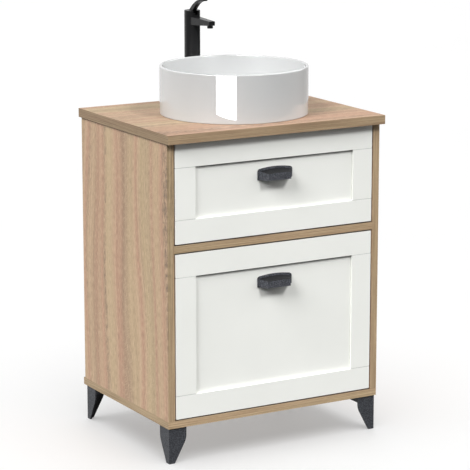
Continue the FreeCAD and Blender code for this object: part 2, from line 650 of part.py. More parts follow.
def make_trap():
    """A bottle trap: body with dip tube and side outlet, screwed cup, two couplings."""
    centre = (0, "basin_y")
    trap = body()
    inner = "(trap_radius - trap_shell)"
    spin(trap, [
        ("dip_radius", "dip_level"), ("tail_inner", "dip_level"), ("tail_inner", "crown_high"),
        (inner, "crown_low"), (inner, "trap_joint"), ("trap_radius", "trap_joint"),
        ("trap_radius", "shoulder_low"), ("neck_outer", "shoulder_high"),
        ("neck_outer", "neck_high"), ("neck_inner", "neck_high"), ("neck_inner", "trap_top"),
        ("dip_radius", "trap_top")])
    move(trap, *centre)
    pipe_start = "(outlet_y - outlet_socket)"
    stub = rod("outlet_stub", "outlet_y - basin_y", (0, "basin_y", "outlet_level"), "+y")
    core = rod(inner, "trap_radius * 2", (*centre, "trap_joint"))
    way = rod("outlet_radius", "outlet_socket + 4", (0, f"{pipe_start} - 2", "outlet_level"), "+y")
    throat = rod("outlet_bore", "trap_radius * 2", (0, "basin_y + dip_radius + 8", "outlet_level"),
                 "+y")
    node("trap_body", fuse(cut(trap, throat), cut(stub, core, way, throat)))

    cup = body()
    spin(cup, [(0, "trap_low"), ("cup_foot", "trap_low"), ("cup_radius", "trap_low + cup_slope"),
               ("cup_radius", "trap_joint - ring_tall"), ("ring_outer", "trap_joint - ring_tall"),
               ("ring_outer", "trap_joint"), (inner, "trap_joint"),
               ("cup_radius - cup_wall", "trap_low + cup_slope + 1"),
               ("cup_foot - 1", "trap_low + cup_floor"), (0, "trap_low + cup_floor")])
    move(cup, *centre)
    node("trap_cup", cup)

    pipe_long = f"base_back - {pipe_start}"
    pipe = fuse(rod("outlet_radius", pipe_long, (0, pipe_start, "outlet_level"), "+y"),
                rod("outlet_radius + collar_rise", "collar_thick",
                    (0, "base_back - outlet_free - collar_thick", "outlet_level"), "+y"))
    node("trap_outlet_pipe", cut(pipe, rod("outlet_bore", f"{pipe_long} + 2",
                                           (0, f"{pipe_start} - 1", "outlet_level"), "+y")))
    upright = cut(prism("coupling_flats", "coupling_tall", (*centre, "neck_high")),
                  rod("tail_outer", "coupling_tall + 2", (*centre, "neck_high - 1")))
    level = cut(prism("outlet_flats", "coupling_tall", (0, "outlet_y", "outlet_level"), "+y"),
                rod("outlet_radius", "coupling_tall + 2", (0, "outlet_y - 1", "outlet_level"), "+y"))
    node("trap_couplings", together(upright, level))


# ----------------------------------------------------------------------------------
# Mixer tap
# ----------------------------------------------------------------------------------
CAP_LOW = "(top_level + tap_tall - cap_tall)"
PIVOT = "(top_level + tap_tall - pivot_rise)"

# Side view of the lever as (forward, up) from its pivot: heel and sole at the hub, the
# hollow underside from toe by belly to tip, then back over nose and brow to the nape.
LEVER_OUTLINE = [(-5, 2), (5, -2), (-12, 11), (-30, 28.5), (-SIZES["lever_reach"], 40.5),
                 (-SIZES["lever_reach"], 46.5), (-29, 36.5), (6.5, 10)]


def make_tap():
    centre = (0, "tap_y")
    stand = rod("tap_radius", "tap_tall - cap_tall - tap_gap", (*centre, "top_level"))
    well = rod("bore_radius", "tap_tall", (*centre, "top_level + cartridge_low"))
    ports = []
    for side in (LEFT, RIGHT):
        at = (f"{side} * inlet_x", "tap_y - inlet_y")
        ports.append(rod("inlet_radius", "inlet_deep + 1", (*at, "top_level - 1")))
        ports.append(rod("waterway - 1", "cartridge_low + 1", (*at, "top_level")))
    stud_at = (0, "tap_y + stud_offset")
    stud_hole = rod("stud_radius", "stud_in + 1", (*stud_at, "top_level - 1"))
    outlet = rod("waterway", "tap_radius", (0, "tap_y", "top_level + spout_bore_level"), "-y")
    column = cut(stand, well, *ports, stud_hole)
    node("tap_body", cut(column, outlet))

    spout = body()
    sections = []
    for wide, low, high, reach in (
            ("spout_root_wide", "spout_root_low", "spout_root_high",
             "tap_radius - spout_sunk"),
            ("spout_tip_wide", "spout_tip_low", "spout_tip_high", "spout_reach")):
        half = f"{wide} / 2"
        sections.append(outline(spout, "XZ_Plane", [
            (f"-{half}", low), (half, low), (half, high), (f"-{half}", high)], reach))
    loft = spout.newObject("PartDesign::AdditiveLoft", "Loft")
    loft.Profile = sections[0]
    loft.Sections = sections[1:]
    soften(spout, "spout_side_round", lambda edge: edge.BoundBox.YLength > 40)
    soften(spout, "spout_nose_round", lambda edge: edge.CenterOfMass.y < 1 - SIZES["spout_reach"]
           and edge.BoundBox.YLength < 0.1)
    move(spout, *centre, "top_level")
    drop = (0, "tap_y - aerator_reach")
    node("tap_spout", cut(
        spout, rod("tap_radius", "tap_tall", (*centre, "top_level")),
        rod("waterway", "aerator_reach", (*centre, "top_level + spout_bore_level"), "-y"),
        rod("aerator_seat", "spout_tip_high - aerator_seat_low - 3",
            (*drop, "top_level + aerator_seat_low"))))
    aerator_at = (*drop, "top_level + aerator_low")
    below = (*drop, "top_level + aerator_low - 1")
    sleeve = fuse(rod("aerator_radius", "aerator_ledge - aerator_low", aerator_at),
                  rod("aerator_neck", "aerator_tall", aerator_at))
    node("tap_aerator", cut(sleeve, rod("aerator_lip", "3", below),
                            rod("aerator_way", "aerator_tall + 2", below)))

    cartridge_at = (*centre, "top_level + cartridge_low")
    node("tap_cartridge", fuse(
        rod("cartridge_radius", "cartridge_tall", cartridge_at),
        rod("retainer_radius", "retainer_tall",
            (*centre, "top_level + cartridge_low + cartridge_tall")),
        rod("cartridge_stem", "stem_tall", cartridge_at)))

    stud_low = f"({TOP_UNDER} - stud_out)"
    node("tap_stud", rod("stud_radius", f"top_level + stud_in - {stud_low}", (*stud_at, stud_low)))
    nut_low = f"({TOP_UNDER} - yoke_thick - stud_nut_tall)"
    depth = (nut_low, TOP_UNDER)
    across = ("-yoke_radius - 1", "yoke_radius + 1")
    yoke = cut(rod("yoke_radius", "yoke_thick", (0, "tap_y", f"{TOP_UNDER} - yoke_thick")),
               box(across, ("tap_y - yoke_radius - 1", "tap_y + 1"), depth),
               box(across, ("side_back - board - 0.5", "side_back"), depth),
               rod("stud_radius + 0.3", "stud_nut_tall + yoke_thick + 2", (*stud_at, nut_low)))
    nut = cut(prism("stud_nut_flats", "stud_nut_tall", (*stud_at, nut_low)),
              rod("stud_radius", "stud_nut_tall + 2", (*stud_at, f"{nut_low} - 1")))
    node("tap_fixings", together(yoke, nut))


def make_tap_cap():
    """The turning cap: a shallow hood, slotted from its front edge for the lever."""
    cap = body()
    spin(cap, [("skirt_inner", "-skirt_deep"), ("retainer_radius", "-skirt_deep"),
               ("retainer_radius", 0),
               ("tap_radius", 0), ("tap_radius", "cap_tall"), (0, "cap_tall"),
               (0, "cap_tall - cap_wall"), ("tap_radius - cap_wall", "cap_tall - cap_wall"),
               ("tap_radius - cap_wall", "cap_floor"), ("skirt_inner", "cap_floor")])
    soften(cap, "cap_round", ring_at(SIZES["tap_radius"], SIZES["cap_tall"]))
    move(cap, 0, "tap_y", CAP_LOW)
    slot = box(("-slot_wide / 2", "slot_wide / 2"), ("tap_y - tap_radius - 2", "tap_y + slot_back"),
               (f"{CAP_LOW} + slot_sill", f"{CAP_LOW} + cap_tall + 2"))
    axle = rod("trunnion + trunnion_play", "2 * (tap_radius - axle_inset)",
               ("-(tap_radius - axle_inset)", "tap_y", PIVOT), "+x")
    node("tap_cap", cut(cap, slot, axle))


def make_tap_lever():
    """A curved lever that rises from its hub and levels out over the spout."""
    lever = body()
    profile = lever.newObject("Sketcher::SketchObject", "Sweep")
    profile.AttachmentSupport = [(plane(lever, "YZ_Plane"), "")]
    profile.MapMode = "FlatFace"
    heel, sole, toe, belly, tip, nose, brow, nape = [Vector(*at, 0) for at in LEVER_OUTLINE]
    edges = [Part.LineSegment(heel, toe), Part.Arc(toe, belly, tip), Part.LineSegment(tip, nose),
             Part.Arc(nose, brow, nape), Part.LineSegment(nape, sole),
             Part.LineSegment(sole, heel)]
    for edge in edges:
        profile.addGeometry(edge)
    profile.addConstraint(Sketcher.Constraint("Block", 1))
    profile.addConstraint(Sketcher.Constraint("Block", 3))
    pad(lever, profile, "lever_wide", midplane=True)
    move(lever, 0, "tap_y", PIVOT)
    hub = rod("hub_radius", "lever_wide", ("-lever_wide / 2", "tap_y", PIVOT), "+x")
    axle_half = "(tap_radius - axle_inset - axle_play)"
    axle = rod("trunnion", f"2 * {axle_half}", (f"-{axle_half}", "tap_y", PIVOT), "+x")
    node("tap_lever", fuse(lever, hub, axle))


# ----------------------------------------------------------------------------------
# Assembly
# ----------------------------------------------------------------------------------
make_carcass()
make_brackets()
for depth_name, sy in (("front", FRONT), ("rear", REAR)):
    for width_name, sx in (("left", LEFT), ("right", RIGHT)):
        make_leg(f"leg_{depth_name}_{width_name}", sx, sy)
for which in ("upper", "lower"):
    make_front(which)
    make_box(which)
    make_handle(which)
make_runners()
make_basin()
make_waste()
make_trap()
make_tap()
make_tap_cap()
make_tap_lever()
doc.recompute()

for obj in doc.Objects:
    if {"Invalid", "Error"} & set(obj.State):
        raise RuntimeError(f"{obj.Name} ({obj.Label}) failed: {obj.State}")
for label, obj in NODES.items():
    if obj.Shape.isNull() or not obj.Shape.isValid() or not obj.Shape.Solids:
        raise RuntimeError(f"{label} has no sound shape")

for label, obj in NODES.items():
    obj.Shape.exportStep(f"parts/{label}.step")
print(len(NODES), "sub-parts written")
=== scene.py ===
"""Looks for the vessel sink on its vanity: materials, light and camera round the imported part.

Metres throughout, in the part's own frame: the front faces -Y, up is +Z, and the floor is z = 0.
"""

import math

import bpy
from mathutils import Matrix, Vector


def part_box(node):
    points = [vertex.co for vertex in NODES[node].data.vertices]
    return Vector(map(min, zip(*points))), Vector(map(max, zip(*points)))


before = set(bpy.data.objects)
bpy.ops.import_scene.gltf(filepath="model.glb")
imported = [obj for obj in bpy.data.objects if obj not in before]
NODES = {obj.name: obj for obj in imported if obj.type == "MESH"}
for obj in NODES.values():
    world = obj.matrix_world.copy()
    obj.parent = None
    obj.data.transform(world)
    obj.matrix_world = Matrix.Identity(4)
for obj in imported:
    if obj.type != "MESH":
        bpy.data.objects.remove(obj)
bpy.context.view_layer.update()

# Camera: where it looks, from which side, and how far off.
AIM = (0.0129, 0.0, 0.4877)
AZIMUTH = -29.94
ELEVATION = 12.335
DISTANCE = 5.6214
LENS = 172.825

# Colours, as display values from 0 to 255.
OAK_ROSE = (187, 148, 125)
OAK_OLIVE = (190, 168, 134)
OAK_TAN = (194, 165, 136)
OAK_DARK = (142, 121, 100)
# smoky streaks of the print, and also painted shade on the upper faces of the base and rails
OAK_STREAK_AND_SHADE = (112, 99, 86)
OAK_PALE = (210, 184, 154)
OAK_EDGE = (168, 147, 115)
OAK_EDGE_DARK = (138, 119, 90)
OAK_EDGE_PALE = (188, 168, 134)
LACQUER = (242, 243, 238)
MELAMINE = (214, 213, 207)
# painted shade for the top rails' upper faces, in the grey of bare board
GAP_SHADE_BOARD = (128, 122, 112)
SEAM = (150, 151, 149)
# painted shade line along the top of each panel's recess, where the rail's shadow falls
RECESS_SHADE = (60, 60, 60)
BEECH = (206, 174, 128)
ANTHRACITE = (46, 48, 53)
ANTHRACITE_CAST = (52, 54, 60)
ZINC = (176, 178, 182)
CERAMIC = (194, 195, 195)
RUBBER = (46, 46, 48)
POLYPROPYLENE = (222, 224, 224)
BLACK = (30, 30, 31)
CHROME = (206, 208, 212)
FLOOR = (205, 205, 205)
OAK_END = (232, 230, 232)  # multiplies the colour of the edges square to X

# How far the painted shade line along the top of a front's panel, where the rail's shadow falls in the
# recess, lies below the rail's lower edge.
RECESS_SHADE_DROP = 0.0024

# Strength of the surroundings ahead of the object and behind it, and the range of the
# direction's Y over which one fades into the other.
WORLD_AHEAD = 0.08
WORLD_BEHIND = 0.85
WORLD_FADE = (0.2, 0.9)

# A joint line, and the painted shade line along a panel's top, is darkest within the first distance of
# its level, and gone at the second.
LINE_REACH = (0.0006, 0.0016)

FLOOR_HALF = 40.0
LACQUER_EASE = 0.0013


def linear(colour):
    """A display colour from 0 to 255 as the linear RGBA that shaders take."""
    return tuple(
        (c / 255 / 12.92) if c <= 10 else ((c / 255 + 0.055) / 1.055) ** 2.4 for c in colour
    ) + (1.0,)


class Finish:
    """A Principled material, with short ways to add nodes to it."""

    def __init__(self, name, **sockets):
        self.material = bpy.data.materials.new(name)
        self.material.use_nodes = True
        self.tree = self.material.node_tree
        self.shader = self.tree.nodes["Principled BSDF"]
        for socket, value in sockets.items():
            self.feed(self.shader.inputs[socket.replace("_", " ")], value)

    def feed(self, socket, value):
        if isinstance(value, bpy.types.NodeSocket):
            self.tree.links.new(value, socket)
        else:
            socket.default_value = value

    def put(self, kind, inputs, output=0, **settings):
        """Adds a node, feeds its inputs by name or index, and returns one of its outputs."""
        made = self.tree.nodes.new("ShaderNode" + kind)
        for name, value in settings.items():
            setattr(made, name, value)
        for name, value in inputs.items():
            self.feed(made.inputs[name], value)
        return made.outputs[output]

    def math(self, operation, *values, clamp=False):
        return self.put("Math", dict(enumerate(values)), operation=operation, use_clamp=clamp)

    def place(self):
        """The point in the piece's own frame, which rides with it."""
        return self.put("TexCoord", {}, "Object")

    def split(self, vector):
        made = self.tree.nodes.new("ShaderNodeSeparateXYZ")
        self.feed(made.inputs[0], vector)
        return made.outputs[0], made.outputs[1], made.outputs[2]

    def joined(self, x, y, z):
        return self.put("CombineXYZ", {0: x, 1: y, 2: z})

    def scaled(self, vector, factors):
        return self.put("VectorMath", {0: vector, 1: factors}, operation="MULTIPLY")

    def noise(self, vector, scale, detail=2.0, roughness=0.5, distortion=0.0):
        return self.put(
            "TexNoise",
            {
                "Vector": vector,
                "Scale": scale,
                "Detail": detail,
                "Roughness": roughness,
                "Distortion": distortion,
            },
        )

    def spread(self, value, low, high, to_low=0.0, to_high=1.0):
        """Maps low..high to to_low..to_high, clamped."""
        return self.put("MapRange", {0: value, 1: low, 2: high, 3: to_low, 4: to_high})

    def mixed(self, factor, a, b, blend="MIX"):
        """Mixes two colours."""
        return self.put("Mix", {0: factor, 6: a, 7: b}, 2, data_type="RGBA", blend_type=blend)

    def ramp(self, value, *stops):
        made = self.tree.nodes.new("ShaderNodeValToRGB")
        self.feed(made.inputs[0], value)
        elements = made.color_ramp.elements
        while len(elements) < len(stops):
            elements.new(0.5)
        for element, (position, colour) in zip(elements, stops):
            element.position = position
            element.color = linear(colour)
        return made.outputs[0]

    def colour(self, value):
        self.feed(self.shader.inputs["Base Color"], value)

    def roughness(self, value):
        self.feed(self.shader.inputs["Roughness"], value)

    def bump(self, height, depth, strength=1.0):
        normal = self.put("Bump", {"Height": height, "Distance": depth, "Strength": strength})
        self.feed(self.shader.inputs["Normal"], normal)


def oak(name, grain, seed, edge_grain=None, lighter=1.0, painted_shade_top=False):
    """Oak-print laminate.

    The grain runs along the axis `grain` on the broad faces, and along `edge_grain` on the
    faces square to X. `seed` moves the print, so that no two boards match. The narrow faces
    have a plainer edge banding. `lighter` scales the whole colour, as painted shade below 1
    and painted light above 1, to offset how strongly the lamps light a board, and
    `painted_shade_top` darkens the upper faces, which only show as a line below a drawer
    front, as painted shade.
    """
    f = Finish(name, Roughness=0.55, Specular_IOR_Level=0.22)
    x, y, z = f.split(f.place())
    normal_x, normal_y, normal_z = f.split(f.put("TexCoord", {}, "Normal"))
    if grain == "Z":
        across, along = f.math("ADD", x, y), z
    else:
        across, along = f.math("ADD", y, z), x
    if edge_grain == "Y":
        side = f.math("GREATER_THAN", f.math("ABSOLUTE", normal_x), 0.7)
        across = f.put("Mix", {0: side, 2: across, 3: z}, data_type="FLOAT")
        along = f.put("Mix", {0: side, 2: along, 3: y}, data_type="FLOAT")
    across = f.math("ADD", across, seed)
    sheet = f.joined(across, along, 0.0)

    # The rings wander slowly along the board, which draws long flames where they turn.
    drift = f.noise(f.scaled(sheet, (5.0, 0.9, 1.0)), 1.0, 1.0, 0.5)
    wander = f.noise(f.scaled(sheet, (20.0, 3.5, 1.0)), 1.0, 1.0, 0.5)
    warped = f.math("ADD", across, f.math("MULTIPLY", f.math("SUBTRACT", drift, 0.5), 0.16))
    warped = f.math("ADD", warped, f.math("MULTIPLY", f.math("SUBTRACT", wander, 0.5), 0.014))
    ringed = f.joined(warped, f.math("MULTIPLY", along, 0.1), 0.0)

    # Broad bands of rosy, tan and olive wood, as if sawn from several planks.
    band = f.noise(f.scaled(ringed, (11.0, 1.0, 1.0)), 1.0, 0.0)
    wood = f.ramp(
        band,
        (0.32, OAK_OLIVE),
        (0.42, OAK_TAN),
        (0.49, OAK_ROSE),
        (0.56, OAK_TAN),
        (0.66, OAK_OLIVE),
    )
    gloom = f.noise(f.scaled(ringed, (17.0, 2.0, 1.0)), 1.0, 1.0, 0.4)
    wood = f.mixed(f.spread(gloom, 0.5, 0.72, 0.0, 0.6), wood, linear(OAK_DARK))

    # Growth lines of every width, in groups that fade in and out.
    shade = f.noise(f.scaled(ringed, (60.0, 5.0, 1.0)), 1.0, 5.0, 0.75)
    wood = f.mixed(f.spread(shade, 0.5, 0.7, 0.0, 0.5), wood, linear(OAK_DARK))
    wood = f.mixed(f.spread(shade, 0.47, 0.3, 0.0, 0.7), wood, linear(OAK_PALE))
    lines = f.noise(f.scaled(ringed, (480.0, 14.0, 1.0)), 1.0, 3.0, 0.65)
    patch = f.noise(f.scaled(sheet, (16.0, 2.2, 1.0)), 1.0, 1.0, 0.5)
    weight = f.spread(patch, 0.35, 0.65, 0.25, 0.85)
    wood = f.mixed(f.math("MULTIPLY", f.spread(lines, 0.5, 0.72), weight), wood, linear(OAK_DARK))

    # Short pale and dark flecks, which give the print its broken look.
    flecks = f.noise(f.scaled(sheet, (480.0, 60.0, 1.0)), 1.0, 2.0, 0.6)
    wood = f.mixed(f.spread(flecks, 0.5, 0.7, 0.0, 0.5), wood, linear(OAK_DARK))
    wood = f.mixed(f.spread(flecks, 0.48, 0.3, 0.0, 0.6), wood, linear(OAK_PALE))

    # A few smoky streaks, wavy and broken along their length.
    smoke = f.noise(f.scaled(ringed, (24.0, 2.4, 1.0)), 1.0, 1.0, 0.5)
    broken = f.noise(f.scaled(sheet, (130.0, 46.0, 1.0)), 1.0, 3.0, 0.7, 0.8)
    streak = f.math("MULTIPLY", f.spread(smoke, 0.58, 0.7), f.spread(broken, 0.42, 0.62))
    wood = f.mixed(f.math("MULTIPLY", streak, 0.85), wood, linear(OAK_STREAK_AND_SHADE))

    # Open pores: short dark dashes along the grain.
    pores = f.noise(f.scaled(sheet, (1100.0, 40.0, 1.0)), 1.0, 1.0, 0.5)
    dashes = f.spread(pores, 0.58, 0.75)
    wood = f.mixed(f.math("MULTIPLY", dashes, 0.35), wood, linear(OAK_DARK))

    # Pale saw marks aslant the grain, in strips where the blade chattered.
    slant = f.joined(across, f.math("ADD", along, f.math("MULTIPLY", across, 0.55)), 0.0)
    chatter = f.noise(f.scaled(slant, (70.0, 330.0, 1.0)), 1.0, 2.0, 0.55)
    sawn = f.noise(f.scaled(sheet, (17.0, 1.6, 1.0)), 1.0, 1.0, 0.5)
    marks = f.math("MULTIPLY", f.spread(chatter, 0.52, 0.66), f.spread(sawn, 0.5, 0.6))
    wood = f.mixed(f.math("MULTIPLY", marks, 0.3), wood, linear(OAK_PALE))

    # The edge banding is a plainer, more olive strip with close straight lines.
    forward = f.math("GREATER_THAN", f.math("ABSOLUTE", normal_y), 0.7)
    edging = f.math("MAXIMUM", forward, side) if edge_grain else forward
    strips = f.noise(f.scaled(sheet, (520.0, 5.0, 1.0)), 1.0, 2.0, 0.6)
    banding = f.ramp(strips, (0.36, OAK_EDGE_DARK), (0.5, OAK_EDGE), (0.64, OAK_EDGE_PALE))
    wood = f.mixed(f.math("MULTIPLY", edging, 0.7), wood, banding)
    if edge_grain:
        wood = f.mixed(side, wood, linear(OAK_END), "MULTIPLY")
    # Painted shade on the upper faces, for the dark line they show below a drawer front.
    if painted_shade_top:
        upward = f.math("GREATER_THAN", normal_z, 0.9)
        wood = f.mixed(f.math("MULTIPLY", upward, 0.8), wood, linear(OAK_STREAK_AND_SHADE))
    # The whole colour is scaled, as painted shade below 1 and painted light above 1, to offset how
    # strongly the lamps light the board.
    if lighter != 1.0:
        wood = f.mixed(1.0, wood, (lighter, lighter, lighter, 1.0), "MULTIPLY")
    f.colour(wood)
    f.roughness(f.spread(lines, 0.3, 0.8, 0.5, 0.62))
    height = f.math("ADD", f.math("MULTIPLY", dashes, -0.6), f.math("MULTIPLY", lines, -0.4))
    f.bump(height, 0.00015, 0.7)
    return f.material


def lacquer(name="white_lacquer", gap_shade_top=False, seam_and_shade_levels=(), seam_and_shade_colour=SEAM):
    """Satin white foil on the drawer fronts, with a very slight orange peel.

    `gap_shade_top` paints shade on the upper edge, in the grey of bare board, for the dark gap
    above each front. `seam_and_shade_levels` are the levels of the joints, and of the painted
    shade line along a panel's top, where the foil turns to `seam_and_shade_colour`.
    """
    f = Finish(name, Roughness=0.34, Coat_Weight=0.15, Coat_Roughness=0.22)
    at = f.place()
    cloud = f.noise(at, 6.0, 2.0)
    white = f.ramp(cloud, (0.3, LACQUER), (0.7, tuple(c + 3 for c in LACQUER)))
    level = f.split(at)[2]
    # Each level draws a thin grey line: a dark joint on the stiles, and on the panels a painted shade
    # line where the top rail's shadow falls in the recess.
    for line_level in seam_and_shade_levels:
        gap = f.math("ABSOLUTE", f.math("SUBTRACT", level, line_level))
        white = f.mixed(f.spread(gap, *LINE_REACH, 0.75, 0.0), white, linear(seam_and_shade_colour))
    # Painted shade: the upper faces of the top rails take the grey of bare board, for the dark gap
    # above each front.
    if gap_shade_top:
        upward = f.math("GREATER_THAN", f.split(f.put("TexCoord", {}, "Normal"))[2], 0.9)
        fibres = f.noise(f.scaled(at, (300.0, 900.0, 900.0)), 1.0, 3.0, 0.6)
        board = f.ramp(fibres, (0.35, tuple(c - 16 for c in GAP_SHADE_BOARD)), (0.65, GAP_SHADE_BOARD))
        white = f.mixed(upward, white, board)
    f.colour(white)
    peel = f.noise(at, 900.0, 1.0)
    f.roughness(f.spread(f.noise(at, 60.0, 2.0), 0.3, 0.7, 0.3, 0.4))
    f.bump(peel, 0.00002, 0.5)
    return f.material


def melamine():
    """Pale drawer board with a fine linen print."""
    f = Finish("drawer_board", Roughness=0.5)
    at = f.place()
    warp = f.noise(f.scaled(at, (1600.0, 60.0, 1600.0)), 1.0, 1.0)
    weft = f.noise(f.scaled(at, (60.0, 1600.0, 60.0)), 1.0, 1.0)
    threads = f.math("MAXIMUM", warp, weft)
    f.colour(f.ramp(threads, (0.45, tuple(c - 14 for c in MELAMINE)), (0.65, MELAMINE)))
    f.roughness(f.spread(threads, 0.4, 0.7, 0.44, 0.56))
    f.bump(threads, 0.00005, 0.6)
    return f.material


def beech():
    """Fluted dowel beech: close straight grain with flecks."""
    f = Finish("dowel_beech", Roughness=0.6)
    at = f.place()
    grain = f.noise(f.scaled(at, (160.0, 900.0, 900.0)), 1.0, 2.0)
    f.colour(f.ramp(grain, (0.35, BEECH), (0.65, tuple(c - 34 for c in BEECH))))
    f.bump(grain, 0.0001, 0.5)
    return f.material


def moulded(name, colour, roughness, grain_scale, grain_depth, speckle, specular, painted_upward_shade=1.0):
    """Moulded or coated surface with a fine hammered grain and a slight speckle.

    `painted_upward_shade` scales the colour of the faces that lean upwards, such as the top
    of a handle's hood, as painted shade.
    """
    f = Finish(name, Roughness=roughness, Specular_IOR_Level=specular)
    at = f.place()
    cells = f.put("TexVoronoi", {"Vector": at, "Scale": grain_scale, "Randomness": 1.0}, "Distance")
    fine = f.noise(at, grain_scale * 2.5, 2.0)
    tone = f.math("ADD", f.math("MULTIPLY", cells, 0.6), f.math("MULTIPLY", fine, 0.4))
    low = tuple(max(c - speckle, 0) for c in colour)
    high = tuple(min(c + speckle, 255) for c in colour)
    shade = f.ramp(tone, (0.2, low), (0.7, high))
    # Painted shade: the faces that lean upwards, such as the top of a handle's hood, are darkened.
    if painted_upward_shade != 1.0:
        upward = f.split(f.put("TexCoord", {}, "Normal"))[2]
        leaning = f.math("MULTIPLY", f.spread(upward, 0.1, 0.3), f.spread(upward, 0.99, 0.975))
        shade = f.mixed(leaning, shade, f.mixed(1.0, shade, (painted_upward_shade, painted_upward_shade, painted_upward_shade, 1.0), "MULTIPLY"))
    f.colour(shade)
    f.roughness(f.spread(fine, 0.3, 0.7, roughness - 0.06, roughness + 0.08))
    f.bump(tone, grain_depth, 0.8)
    return f.material


def zinc(name, colour, roughness, bright=1.0):
    """Zinc-plated or zinc-cast metal: cloudy spangle and fine rolling lines."""
    f = Finish(name, Metallic=bright, Roughness=roughness)
    at = f.place()
    spangle = f.noise(at, 90.0, 3.0, 0.6)
    rolled = f.noise(f.scaled(at, (1200.0, 40.0, 1200.0)), 1.0, 1.0)
    f.colour(f.ramp(spangle, (0.3, tuple(c - 22 for c in colour)), (0.7, colour)))
    f.roughness(f.spread(spangle, 0.3, 0.7, roughness - 0.07, roughness + 0.1))
    f.bump(rolled, 0.00002, 0.5)
    return f.material


def ceramic():
    """Glazed white ceramic: clear glossy glaze that pools very slightly unevenly."""
    f = Finish("glazed_ceramic", Roughness=0.05, IOR=1.52, Coat_Weight=0.4, Coat_Roughness=0.02)
    at = f.place()
    cloud = f.noise(at, 9.0, 2.0)
    f.colour(f.ramp(cloud, (0.3, CERAMIC), (0.7, tuple(c + 2 for c in CERAMIC))))
    ripple = f.noise(at, 22.0, 1.0)
    f.roughness(f.spread(f.noise(at, 14.0, 2.0), 0.3, 0.7, 0.04, 0.06))
    f.bump(ripple, 0.00003, 0.3)
    return f.material


def rubber():
    """Dull dark rubber with a little dust."""
    f = Finish("seal_rubber", Roughness=0.75)
    at = f.place()
    dust = f.noise(at, 260.0, 3.0)
    f.colour(f.ramp(dust, (0.4, RUBBER), (0.75, tuple(c + 20 for c in RUBBER))))
    f.roughness(f.spread(dust, 0.3, 0.8, 0.65, 0.85))
    f.bump(dust, 0.00008, 0.5)
    return f.material


def chrome(roughness=0.09):
    """Bright plating with faint smudges."""
    f = Finish("chrome", Metallic=1.0, Roughness=roughness)
    at = f.place()
    smudge = f.noise(at, 55.0, 3.0, 0.6)
    f.colour(f.ramp(smudge, (0.3, tuple(c - 10 for c in CHROME)), (0.7, CHROME)))
    f.roughness(f.spread(smudge, 0.35, 0.75, roughness - 0.03, roughness + 0.08))
    f.bump(f.noise(at, 300.0, 1.0), 0.00001, 0.3)
    return f.material


def polypropylene():
    """Pale trap plastic with faint flow lines."""
    f = Finish("trap_plastic", Roughness=0.36, Subsurface_Weight=0.08)
    at = f.place()
    flow = f.noise(f.scaled(at, (30.0, 30.0, 90.0)), 1.0, 2.0)
    f.colour(f.ramp(flow, (0.3, tuple(c - 7 for c in POLYPROPYLENE)), (0.7, POLYPROPYLENE)))
    f.roughness(f.spread(flow, 0.3, 0.7, 0.3, 0.42))
    f.bump(f.noise(at, 700.0, 2.0), 0.00003, 0.5)
    return f.material


def satin_black():
    """Satin black coating with a slight mottle."""
    f = Finish("tap_black", Roughness=0.24, Specular_IOR_Level=0.3)
    at = f.place()
    mottle = f.noise(at, 1400.0, 2.0)
    f.colour(f.ramp(mottle, (0.3, BLACK), (0.7, tuple(c + 4 for c in BLACK))))
    f.roughness(f.spread(f.noise(at, 70.0, 2.0), 0.3, 0.7, 0.22, 0.26))
    f.bump(mottle, 0.000006, 0.4)
    return f.material


# The materials in use: by material slot, and for a few nodes of their own.
OAK_SIDE = {
    side: oak(f"oak_side_{side}", "Z", shift) for side, shift in (("left", 3.1), ("right", 7.4))
}
# The worktop's colour is scaled down as painted shade, to offset the strong light on its top, and the
# base's scaled up as painted light, where the lamps leave it dim.
OAK_TOP = oak("oak_worktop", "X", 1.7, edge_grain="Y", lighter=0.84)
# The base and the rails get painted shade on their upper faces.
OAK_BASE = oak("oak_base", "X", 5.3, edge_grain="Y", lighter=1.1, painted_shade_top=True)
OAK_RAIL = oak("oak_rail", "X", 9.2, painted_shade_top=True)
# The top rails get painted shade on their upper faces, for the dark gap above each front.
LACQUER_GAP_SHADE = lacquer("white_lacquer_top_rail", gap_shade_top=True)
LACQUER_STILES = {
    name: lacquer(f"white_lacquer_{name}", seam_and_shade_levels=[corner[2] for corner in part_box(name)])
    for name in ("upper_stiles", "lower_stiles")
}
# Each panel gets a painted shade line just below its top rail, where the rail's shadow falls in the
# recess.
LACQUER_PANELS = {
    f"{drawer}_front_panel": lacquer(
        f"white_lacquer_{drawer}_panel",
        seam_and_shade_levels=[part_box(f"{drawer}_top_rail")[0][2] - RECESS_SHADE_DROP],
        seam_and_shade_colour=RECESS_SHADE,
    )
    for drawer in ("upper", "lower")
}
PLAIN = {
    "oak_laminate": OAK_RAIL,
    "white_lacquer": lacquer(),
    "drawer_board": melamine(),
    "dowel_beech": beech(),
    "leg_plastic": moulded("leg_plastic", ANTHRACITE, 0.5, 300.0, 0.0003, 30, 0.35),
    # The handles get painted shade on the tops of their hoods.
    "handle_metal": moulded("handle_metal", ANTHRACITE_CAST, 0.46, 330.0, 0.0003, 40, 0.2, painted_upward_shade=0.15),
    "runner_steel": zinc("runner_steel", ZINC, 0.34),
    "screw_steel": zinc("screw_steel", ZINC, 0.26),
    "glazed_ceramic": ceramic(),
    "seal_rubber": rubber(),
    "chrome": chrome(),
    "trap_plastic": polypropylene(),
    "tap_black": satin_black(),
    "tap_insert": zinc("tap_insert", (52, 53, 55), 0.4, 0.5),
}
OWN = {
    "side_panel_left": OAK_SIDE["left"],
    "side_panel_right": OAK_SIDE["right"],
    "worktop": OAK_TOP,
    "bottom_panel": OAK_BASE,
    "upper_top_rail": LACQUER_GAP_SHADE,
    "lower_top_rail": LACQUER_GAP_SHADE,
    **LACQUER_STILES,
    **LACQUER_PANELS,
}
